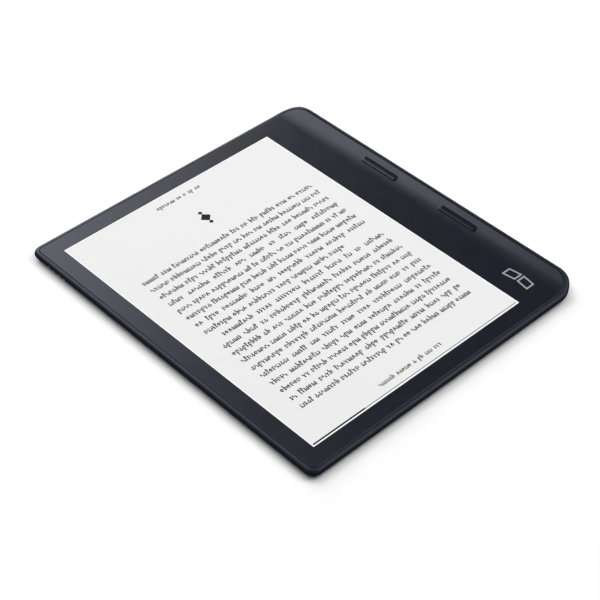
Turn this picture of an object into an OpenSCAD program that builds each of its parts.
// Eight-inch e-reader with a raised page-turn grip along one long side.
// It lies on its back: +Z comes out of the screen, +X points to the grip and +Y to the top of the page.
// The origin is the middle of the outline, on the plane that the back rests on.

/* [Body] */
// Width across the grip
body_w = 160.5; // [150:0.5:175]
// Length from the bottom to the top of the page
body_l = 181.4; // [175:0.2:200]
// Thickness at the screen
body_h = 4.7; // [4.7:0.1:6]
// Thickness at the raised edge of the grip
grip_h = 7.6; // [7.6:0.1:9]
// Corner radius on the thin side
thin_r = 5; // [4:0.5:8]
// Corner radius on the grip side
grip_r = 12.5; // [10:0.5:15]
// Rounding between the back and the side walls
edge_r = 4; // [2.6:0.1:4]
// Rounding at the top of the rim
rim_r = 1.6; // [0.9:0.1:1.8]
// Thickness of the back wall
floor_t = 0.8; // [0.7:0.05:0.8]
// Width of the side wall, up to the seam of the front plate
rim_w = 2.4; // [2:0.1:2.6]
// Open seam between the rim and the front plate
seam = 0.1; // [0.05:0.05:0.2]

/* [Grip] */
// Where the flat front starts to bend up
bend_x = 66.5; // [66:0.5:67]
// Radius of the hollow bend
bend_r = 22; // [20:1:24]
// Slope of the grip past the bend
slope = 20.5; // [18:0.5:21]
// Thickness of the front plate
plate_t = 1.35; // [1.3:0.05:1.35]

/* [Screen] */
// Width of the visible window
window_w = 121.4; // [115:0.1:121.4]
// Height of the visible window
window_l = 159.7; // [150:0.1:159.7]
// Middle of the window from the middle of the body
window_x = -8.7; // [-9:0.1:-8.5]
// Thickness of the cover lens
lens_t = 0.32; // [0.3:0.01:0.32]

/* [Page buttons] */
// Length of a page button
key_l = 22.4; // [20:0.1:25]
// Width of a page button
key_w = 2.9; // [2.6:0.1:3.2]
// Height of a page button's crown above the grip
key_rise = 0.45; // [0.4:0.05:0.7]
// Distance between the two page buttons, middle to middle
key_pitch = 49.5; // [46:0.5:54]
// Middle of the page buttons along X
key_x = 72.9; // [72.5:0.1:73]
// Lean of the page buttons, less than the grip's own, so that their inner edge stands proud
key_lean = 9; // [8:0.5:12]
// Play around each button
key_gap = 0.15; // [0.1:0.05:0.2]
// Travel of each page button
key_travel = 0.3; // [0.2:0.05:0.3]

/* [Power button] */
// Middle of the power button along X, in the back
power_x = 62; // [60:0.5:62]
// Middle of the power button along Y
power_y = 30; // [20:0.5:34]
// Radius of the power button
power_r = 4.4; // [3.5:0.1:5]

/* [Connectors] */
// Spacing of the four accessory contacts
contact_pitch = 3.6; // [3:0.1:4]
// Middle of the contact row along Y
contact_y = 72.3; // [65:0.1:74]
// Height of the contacts above the back
contact_z = 2.28; // [2.2:0.02:2.28]
// Middle of the charging port along Y
port_y = -60; // [-66:0.5:-55]
// Height of the charging port above the back
port_z = 2.75; // [2.7:0.05:2.75]

/* [Hidden] */
$fn = 48;

half_w = body_w / 2;
half_l = body_l / 2;
far = 100;
flat_far = -far;

// Stack under the lens, from the top down
lens_z = body_h - lens_t;
touch_t = 0.10;
guide_t = 0.26;
panel_t = 0.60;
layer_gap = 0.02;
touch_z = lens_z - layer_gap - touch_t;
guide_z = touch_z - layer_gap - guide_t;
panel_z = guide_z - layer_gap - panel_t;
frame_top = body_h - plate_t - 0.1;
frame_t = 0.3;
frame_z = frame_top - frame_t;
panel_w = window_w + 5.4;
panel_l = window_l + 11.1;
pocket_play = 0.3;
bar_l = 2.6;
frame_right = 68;

// Page buttons, in a leaning frame that starts on the surface of the grip
key_z = body_h + bend_r - sqrt(pow(bend_r, 2) - pow(key_x - bend_x, 2));
crown_r = 5;
flange_drop = 0.25;
flange_top = -plate_t - flange_drop;
flange_t = 0.5;
flange_lip = 0.8;
flange_z = flange_top - flange_t;
switch_top = flange_z - key_travel - 0.05;
switch_t = 0.9;
switch_z = switch_top - switch_t;
well_r = 1.1;
well_floor = 0.15;
dome_t = 0.05;
plunger_r = 1.0;
plunger_l = 0.75;
board_t = 0.4;
board_z = switch_z - board_t;
board_half = 2.9;
carrier_half_l = 44;

// Power button in the back
power_cap_z = 0.3;
power_gap = 0.15;
power_travel = 0.25;
power_flange_t = 0.3;
power_flange_z = floor_t + 0.05;
power_plunger_z = power_flange_z + power_flange_t;
power_plunger_l = 0.6;
power_switch_z = power_plunger_z + power_travel + 0.1;
power_switch_t = 0.85;
power_switch_w = 4.6;
power_well_l = 0.7;

// Charging port: a stadium-shaped shell in the grip's side wall
port_w = 8.94;
port_h = 3.16;
port_wall = 0.3;
port_back_x = 73.65;
port_sink = 1.25;
port_mouth_x = half_w - port_sink;
port_play = 0.08;

// Mainboard and what it carries
board_x = -10;
board_y = -42;
main_w = 100;
main_l = 60;
main_z = 1.05;
main_t = 0.7;
main_top = main_z + main_t;
can_w = 34;
can_l = 27;
can_h = 1.1;
can_wall = 0.15;
can_x = -28;
can_y = -40;
connector_x = -10;
connector_y = -66;
cell_w = 92;
cell_l = 56;
cell_t = 1.95;
cell_x = -16;
cell_y = 36;
cell_z = 0.9;
lead_x = 14;

screw_y = 79;
screw_spots = [
    for (x = [-70, window_x, 58]) for (side = [-1, 1]) [x, side * screw_y],
    for (side = [-1, 1]) [64, side * 48],
];
screw_shaft_r = 0.7;
screw_head_r = 1.35;
screw_seat = frame_z + 0.12;
boss_r = 1.9;

contact_ys = [for (i = [0:3]) contact_y + (i - 1.5) * contact_pitch];
contact_r = 0.62;
contact_bore_r = 0.95;
contact_sink = 0.9;

magnet_ys = [-50, -30, 30, 50];

// Printed sign at the foot of the grip
emblem_x = 63.4;
emblem_y = -69.5;
emblem_t = 0.1;

// A rectangle from one corner to the other, in X and Y, between two heights
module block(x0, x1, y0, y1, z0, z1) {
    translate([x0, y0, z0]) cube([x1 - x0, y1 - y0, z1 - z0]);
}

// A block given by its middle
module pad(x, y, w, l, z0, t) {
    block(x - w / 2, x + w / 2, y - l / 2, y + l / 2, z0, z0 + t);
}

// Outline of the body, drawn in by a distance
module outline(inset) {
    rl = max(thin_r - inset, 1);
    rr = grip_r - inset;
    x0 = inset - half_w;
    x1 = half_w - inset;
    y1 = half_l - inset;
    translate([x0 + rl, -y1]) square([x1 - rr - x0 - rl, 2 * y1]);
    translate([x0, rl - y1]) square([rl, 2 * (y1 - rl)]);
    translate([x1 - rr, rr - y1]) square([rr, 2 * (y1 - rr)]);
    for (side = [-1, 1]) {
        translate([x0 + rl, side * (y1 - rl)]) circle(rl);
        translate([x1 - rr, side * (y1 - rr)]) circle(rr);
    }
}

// Section of the edge of the body: rounded at the back and at the top, and r deep
module edge_section(r, h) {
    intersection() {
        union() {
            square([r - edge_r, h]);
            translate([0, edge_r]) square([r, h - edge_r]);
            translate([r - edge_r, edge_r]) intersection() {
                circle(edge_r);
                translate([0, -edge_r]) square(edge_r);
            }
        }
        union() {
            square([r - rim_r, h]);
            square([r, h - rim_r]);
            translate([r - rim_r, h - rim_r]) intersection() {
                circle(rim_r);
                square(rim_r);
            }
        }
    }
}

// The whole rounded slab, h thick, from straight and turned lengths of its edge
module slab(h) {
    x0 = thin_r - half_w;
    x1 = half_w - grip_r;
    block(x0, x1, thin_r - half_l, half_l - thin_r, 0, h);
    translate([x0, 0, 0]) mirror([1, 0, 0]) rotate([90, 0, 0])
        linear_extrude(body_l - 2 * thin_r, center = true) edge_section(thin_r, h);
    translate([x1, 0, 0]) rotate([90, 0, 0])
        linear_extrude(body_l - 2 * grip_r, center = true) edge_section(grip_r, h);
    for (side = [0, 1]) mirror([0, side, 0]) {
        translate([(x0 + x1) / 2, half_l - thin_r, 0]) rotate([90, 0, 90])
            linear_extrude(x1 - x0, center = true) edge_section(thin_r, h);
        translate([x0, half_l - thin_r, 0]) rotate([0, 0, 90])
            rotate_extrude(angle = 90) edge_section(thin_r, h);
        translate([x1, half_l - grip_r, 0])
            rotate_extrude(angle = 90) edge_section(grip_r, h);
    }
}

// Everything below the front surface, sunk by a depth: flat, then a hollow bend, then the grip's slope
module below_front(depth) {
    r = bend_r + depth;
    top = body_h - depth;
    steps = 12;
    bend = [for (i = [0:steps]) let(a = slope * i / steps) [bend_x + r * sin(a), top + r * (1 - cos(a))]];
    end = bend[steps];
    rotate([90, 0, 0]) linear_extrude(2 * far, center = true) polygon([
        [flat_far, -1], [far, -1], [far, end.y + (far - end.x) * tan(slope)],
        for (i = [steps:-1:0]) bend[i],
        [flat_far, top],
    ]);
}

// Outer form of the reader: the thin part, then the grip
module envelope() {
    intersection() {
        slab(body_h);
        block(flat_far, bend_x, -far, far, -1, far);
    }
    intersection() {
        slab(grip_h);
        block(bend_x, far, -far, far, -1, far);
        below_front(0);
    }
}

// Stadium: a bar with round ends, standing on the XY plane
module stadium(l, w, h) {
    translate([0, w / 2 - l / 2, 0]) cylinder(h, r = w / 2);
    translate([0, l / 2 - w / 2, 0]) cylinder(h, r = w / 2);
    translate([-w / 2, w / 2 - l / 2, 0]) cube([w, l - w, h]);
}

// Moves to a page button's own frame: side 1 is the upper one, -1 the lower one
module at_key(side) {
    translate([key_x, side * key_pitch / 2, key_z]) rotate([0, -key_lean, 0]) children();
}

// Stadium lying along Y with its length through a wall that faces +X
module port_prism(x0, x1, grow) {
    translate([x0, port_y, port_z]) rotate([0, 90, 0]) stadium(port_w + 2 * grow, port_h + 2 * grow, x1 - x0);
}

module rear_housing() {
    color([0.12, 0.125, 0.15]) difference() {
        union() {
            difference() {
                envelope();
                translate([0, 0, floor_t]) linear_extrude(far) outline(rim_w);
            }
            for (p = screw_spots) translate([p.x, p.y, floor_t / 2]) cylinder(frame_z - floor_t / 2, r = boss_r);
        }
        for (p = screw_spots) translate([p.x, p.y, 1.3]) cylinder(far, r = screw_shaft_r + 0.02);
        for (y = contact_ys) translate([-half_w - 1, y, contact_z]) rotate([0, 90, 0])
            cylinder(rim_w + 2, r = contact_bore_r);
        port_prism(half_w - rim_w - 1, half_w + 1, port_play);
        translate([power_x, power_y, -1]) cylinder(floor_t + 2, r = power_r + power_gap);
    }
}

module front_plate() {
    color([0.13, 0.135, 0.17]) difference() {
        intersection() {
            translate([0, 0, 1]) linear_extrude(far) outline(rim_w + seam);
            below_front(0);
        }
        below_front(plate_t);
        pad(window_x, 0, window_w, window_l, 0, far);
        pad(window_x, 0, panel_w + 2 * pocket_play, panel_l + 2 * pocket_play, 0, lens_z);
        for (side = [-1, 1]) at_key(side) translate([0, 0, -far / 10])
            stadium(key_l + 2 * key_gap, key_w + 2 * key_gap, far / 5);
        emblem_pages(emblem_t);
    }
}

module cover_lens() {
    color([0.9, 0.92, 0.92, 0.35]) pad(window_x, 0, window_w - 0.1, window_l - 0.1, lens_z, lens_t);
}

module touch_sensor() {
    color([0.8, 0.85, 0.88, 0.4]) pad(window_x, 0, panel_w, panel_l, touch_z, touch_t);
}

module light_guide() {
    color([0.85, 0.92, 0.95, 0.5])
        block(window_x - panel_w / 2, window_x + panel_w / 2, bar_l - panel_l / 2, panel_l / 2,
              guide_z, guide_z + guide_t);
}

// Strip of small white lamps along the bottom edge of the light guide
module light_bar() {
    lamps = 12;
    y0 = -panel_l / 2;
    color([0.75, 0.55, 0.2]) pad(window_x, y0 + bar_l / 2 - 0.05, panel_w - 4, bar_l - 0.3, guide_z, 0.1);
    color([0.95, 0.95, 0.85]) for (i = [0:lamps - 1])
        pad(window_x + (i - (lamps - 1) / 2) * (panel_w - 10) / (lamps - 1), y0 + bar_l / 2, 2.4, 1, guide_z + 0.1, 0.16);
}

module display_panel() {
    color([0.92, 0.92, 0.91]) pad(window_x, 0, panel_w, panel_l, panel_z, panel_t);
}

module panel_foam() {
    color([0.2, 0.2, 0.22]) difference() {
        pad(window_x, 0, panel_w - 4, panel_l - 4, frame_top, panel_z - frame_top);
        pad(connector_x, connector_y - 9, 24, 8, 0, far);
    }
}

// Double-sided tape that holds the front plate to the frame
module plate_tape() {
    color([0.1, 0.1, 0.1]) difference() {
        translate([0, 0, frame_top]) linear_extrude(0.1) outline(rim_w + seam + 0.4);
        pad(window_x, 0, panel_w + 1.4, panel_l + 1.4, 0, far);
        block(frame_right - 0.4, far, -far, far, 0, far);
    }
}

module mid_frame() {
    color([0.62, 0.63, 0.65]) difference() {
        translate([0, 0, frame_z]) linear_extrude(frame_t) outline(rim_w + seam);
        block(frame_right, far, -far, far, 0, far);
        pad(connector_x, connector_y - 9, 22, 6, 0, far);
        for (p = screw_spots) translate([p.x, p.y, 0]) {
            cylinder(far, r = screw_shaft_r + 0.1);
            translate([0, 0, screw_seat]) cylinder(far, r = screw_head_r + 0.1);
        }
        for (x = [-54, -30, 12, 36]) pad(x, 2, 16, 6, 0, far);
    }
}

module frame_screws() {
    color([0.55, 0.56, 0.58]) for (p = screw_spots) translate([p.x, p.y, 0]) difference() {
        union() {
            translate([0, 0, 1.4]) cylinder(screw_seat - 1.4, r = screw_shaft_r);
            translate([0, 0, screw_seat]) cylinder(frame_top - screw_seat, r = screw_head_r);
        }
        translate([0, 0, frame_top - 0.12]) cylinder(1, r = 0.5, $fn = 6);
    }
}

// Ribbon from the back of the panel, down through the frame, to its connector
module display_flex() {
    t = 0.12;
    y_top = connector_y - 10.5;
    y_drop = connector_y - 7.5;
    low = main_top + 0.35;
    high = panel_z - t;
    color([0.8, 0.5, 0.15]) translate([connector_x, 0, 0]) rotate([90, 0, 90])
        linear_extrude(18, center = true) polygon([
            [y_top, high], [y_drop - t, high], [y_drop - t, low], [connector_y + 1, low],
            [connector_y + 1, low + t], [y_drop, low + t], [y_drop, high + t], [y_top, high + t],
        ]);
}

module mainboard() {
    color([0.05, 0.25, 0.18]) difference() {
        pad(board_x, board_y, main_w, main_l, main_z, main_t);
        for (x = [-1, 1]) for (y = [-1, 1])
            translate([board_x + x * 46, board_y + y * 26, 0]) cylinder(far, r = 0.9);
    }
}

module processor() {
    color([0.08, 0.08, 0.09]) pad(can_x - 6, can_y, 14, 14, main_top, 0.75);
}

module memory_chips() {
    color([0.08, 0.08, 0.09]) {
        pad(can_x + 9, can_y + 5, 11, 9, main_top, 0.7);
        pad(can_x + 9, can_y - 6, 11, 9, main_top, 0.7);
    }
}

module shield_can() {
    color([0.72, 0.73, 0.75]) difference() {
        pad(can_x, can_y, can_w, can_l, main_top, can_h);
        pad(can_x, can_y, can_w - 2 * can_wall, can_l - 2 * can_wall, 0, main_top + can_h - can_wall);
    }
}

module display_connector() {
    color([0.9, 0.88, 0.8]) pad(connector_x, connector_y + 1, 20, 4, main_top, 0.35);
}

module battery_cell() {
    color([0.7, 0.71, 0.73]) {
        pad(cell_x, cell_y, cell_w, cell_l, cell_z, cell_t);
        pad(cell_x, cell_y - cell_l / 2 - 1.5, cell_w, 3, cell_z + 0.4, 0.9);
    }
}

module battery_tape() {
    color([0.9, 0.9, 0.6]) pad(cell_x, cell_y, cell_w - 12, cell_l - 12, floor_t, cell_z - floor_t);
}

module battery_lead() {
    lead_r = 0.5;
    lead_z = main_top + lead_r + 0.02;
    y0 = board_y + main_l / 2 - 3;
    y1 = cell_y - cell_l / 2 - 3;
    color([0.75, 0.1, 0.08]) for (i = [-1, 0, 1])
        translate([lead_x + i * 1.5, y0, lead_z]) rotate([-90, 0, 0]) cylinder(y1 - y0, r = lead_r);
}

module battery_connector() {
    color([0.92, 0.9, 0.84]) pad(lead_x, board_y + main_l / 2 - 5, 7, 4, main_top, 1.0);
}

module antenna() {
    color([0.8, 0.55, 0.2]) pad(-20, 84, 40, 5, floor_t + 0.05, 0.15);
}

module hall_sensor() {
    color([0.08, 0.08, 0.09]) pad(board_x - main_w / 2 + 4, board_y + 16, 2.9, 1.6, main_top, 0.9);
}

module cover_magnets() {
    color([0.75, 0.75, 0.77]) for (y = magnet_ys) pad(-73.8, y, 3, 10, floor_t + 0.05, 1.9);
}

// Half section of a button: a crowned cap, with a lip below that keeps it under the plate
module key_section() {
    intersection() {
        translate([0, key_rise - crown_r]) circle(crown_r);
        translate([0, flange_top - 0.01]) square([key_w / 2, far]);
    }
    translate([0, flange_z]) square([key_w / 2 + flange_lip, flange_t]);
}

module page_button(side) {
    straight = key_l - key_w;
    color([0.13, 0.135, 0.17]) at_key(side) {
        for (end = [0, 1]) mirror([0, end, 0]) translate([0, straight / 2, 0])
            rotate_extrude(angle = 180) key_section();
        for (half = [0, 1]) mirror([half, 0, 0]) rotate([90, 0, 0])
            linear_extrude(straight, center = true) key_section();
    }
}

module page_button_upper() {
    page_button(1);
}

module page_button_lower() {
    page_button(-1);
}

module page_plunger(side) {
    color([0.85, 0.85, 0.85]) at_key(side) translate([0, 0, flange_z - plunger_l]) cylinder(plunger_l, r = plunger_r);
}

module upper_plunger() {
    page_plunger(1);
}

module lower_plunger() {
    page_plunger(-1);
}

module page_switches() {
    color([0.15, 0.15, 0.16]) for (side = [-1, 1]) at_key(side) translate([0, 0, switch_z]) difference() {
        pad(0, 0, 3.4, 4.6, 0, switch_t);
        translate([0, 0, well_floor]) cylinder(far, r = well_r);
    }
}

module page_switch_domes() {
    color([0.85, 0.82, 0.7]) for (side = [-1, 1]) at_key(side)
        translate([0, 0, switch_z + well_floor]) cylinder(dome_t, r = plunger_r - 0.1);
}

module button_board() {
    color([0.05, 0.25, 0.18]) translate([key_x, 0, key_z]) rotate([0, -key_lean, 0])
        pad(0, 0, 2 * board_half, 2 * carrier_half_l - 2, board_z, board_t);
}

// Wedge that holds the switch board square to the buttons' travel
module button_carrier() {
    c = cos(key_lean);
    s = sin(key_lean);
    function spot(u, w) = [key_x + u * c - w * s, key_z + u * s + w * c];
    near = spot(-board_half, board_z);
    off = spot(board_half, board_z);
    base = floor_t + 0.02;
    color([0.2, 0.2, 0.22]) rotate([90, 0, 0]) linear_extrude(2 * carrier_half_l, center = true)
        polygon([[near.x, base], [off.x, base], off, near]);
}

// Ribbon from the switch board to the mainboard
module button_flex() {
    color([0.8, 0.5, 0.15]) block(board_x + main_w / 2 - 4, 69.5, -40, -34, main_top + 0.02, main_top + 0.14);
}

module power_button() {
    color([0.13, 0.135, 0.17]) translate([power_x, power_y, 0]) {
        translate([0, 0, power_cap_z]) cylinder(power_flange_z + 0.01 - power_cap_z, r = power_r);
        translate([0, 0, power_flange_z]) cylinder(power_flange_t, r = power_r + 0.8);
    }
}

module power_plunger() {
    color([0.85, 0.85, 0.85]) translate([power_x, power_y, power_plunger_z]) cylinder(power_plunger_l, r = 0.9);
}

module power_switch() {
    color([0.15, 0.15, 0.16]) translate([power_x, power_y, power_switch_z]) difference() {
        pad(0, 0, power_switch_w, power_switch_w, 0, power_switch_t);
        translate([0, 0, -1]) cylinder(1 + power_well_l, r = 1.0);
    }
}

module power_switch_dome() {
    color([0.85, 0.82, 0.7]) translate([power_x, power_y, power_switch_z + power_well_l - dome_t])
        cylinder(dome_t, r = 0.9);
}

module power_board() {
    color([0.05, 0.25, 0.18]) pad(power_x - 1, power_y, 10, 12, power_switch_z + power_switch_t, board_t);
}

module contact_pins() {
    color([0.85, 0.7, 0.35]) for (y = contact_ys) translate([contact_sink - half_w, y, contact_z])
        rotate([0, 90, 0]) cylinder(rim_w + 1.8 - contact_sink, r = contact_r);
}

module contact_insulator() {
    l = 4 * contact_pitch;
    x0 = rim_w + 0.02 - half_w;
    color([0.1, 0.1, 0.11]) difference() {
        block(x0, x0 + 1.2, contact_y - l / 2, contact_y + l / 2, contact_z - 1.3, frame_z - 0.02);
        for (y = contact_ys) translate([-half_w, y, contact_z]) rotate([0, 90, 0]) cylinder(10, r = contact_r + 0.02);
    }
}

module port_shell() {
    color([0.7, 0.71, 0.73]) difference() {
        port_prism(port_back_x, port_mouth_x, 0);
        port_prism(port_back_x + port_wall, half_w + 1, -port_wall);
    }
}

module port_tongue() {
    color([0.12, 0.12, 0.13])
        block(port_back_x + port_wall, port_mouth_x - 0.8, port_y - 3.3, port_y + 3.3, port_z - 0.35, port_z + 0.35);
}

module port_seal() {
    x1 = half_w - rim_w - 0.02;
    color([0.25, 0.25, 0.27]) difference() {
        port_prism(x1 - 0.8, x1, 0.3);
        port_prism(0, far, 0.02);
    }
}

module port_board() {
    color([0.05, 0.25, 0.18]) block(60, port_back_x - 0.02, port_y - 7, port_y + 7, port_z - 1.2, port_z - 0.6);
}

// Plain open-book sign: the outlines of two leaning pages, with a gap for the spine
module emblem_pages(depth) {
    spine = 0.5;
    page_w = 6.7;
    page_l = 5;
    rise = 1;
    line = 0.75;
    translate([emblem_x, emblem_y, body_h - depth]) rotate([0, 0, 90]) linear_extrude(2 * depth)
        for (side = [0, 1]) mirror([side, 0]) translate([spine, -(page_l + rise) / 2]) difference() {
            polygon([[0, 0], [page_w, rise], [page_w, page_l + rise], [0, page_l]]);
            polygon([
                [line, line + rise * line / page_w],
                [page_w - line, line + rise * (page_w - line) / page_w],
                [page_w - line, page_l - line + rise * (page_w - line) / page_w],
                [line, page_l - line + rise * line / page_w],
            ]);
        }
}

module grip_emblem() {
    color([0.6, 0.61, 0.64]) intersection() {
        emblem_pages(emblem_t);
        block(flat_far, far, -far, far, 0, body_h);
    }
}

rear_housing();
front_plate();
cover_lens();
touch_sensor();
light_guide();
light_bar();
display_panel();
panel_foam();
plate_tape();
mid_frame();
frame_screws();
display_flex();
mainboard();
processor();
memory_chips();
shield_can();
display_connector();
battery_cell();
battery_tape();
battery_lead();
battery_connector();
antenna();
hall_sensor();
cover_magnets();
page_button_upper();
page_button_lower();
upper_plunger();
lower_plunger();
page_switches();
page_switch_domes();
button_board();
button_carrier();
button_flex();
power_button();
power_plunger();
power_switch();
power_switch_dome();
power_board();
contact_pins();
contact_insulator();
port_shell();
port_tongue();
port_seal();
port_board();
grip_emblem();
